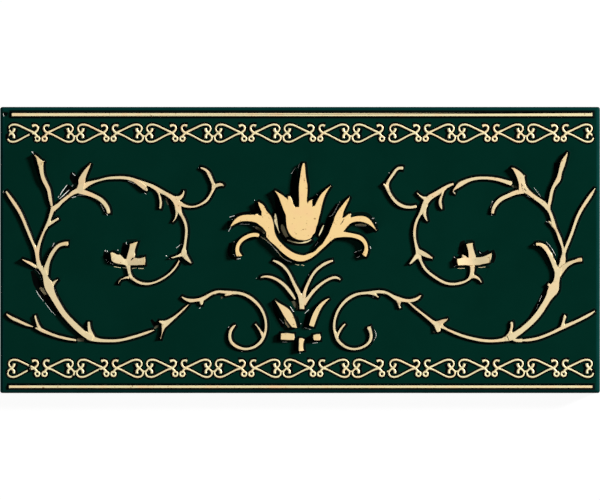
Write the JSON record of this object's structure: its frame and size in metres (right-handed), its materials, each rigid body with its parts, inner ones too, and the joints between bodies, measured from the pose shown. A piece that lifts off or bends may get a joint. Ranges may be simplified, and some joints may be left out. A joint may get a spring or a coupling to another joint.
{
  "type": "border tile",
  "caption": "Oblong glazed ceramic border tile with a raised gilded vine, palmette and line ornament on a dark green face, and a keyed flat back for adhesive.",
  "frame": {"origin": "middle of the tile's back, on the surface that it lies on", "axes": "+X along the tile's length, to the right of the ornament as it is read; +Y up the ornament; +Z out of the face"},
  "size_m": [0.2, 0.0954, 0.0098],
  "materials": {
    "glaze": "gloss dark green glaze"
  },
  "bodies": {
    "root": {"border_tile": "glaze"}
  },
  "joints": []
}
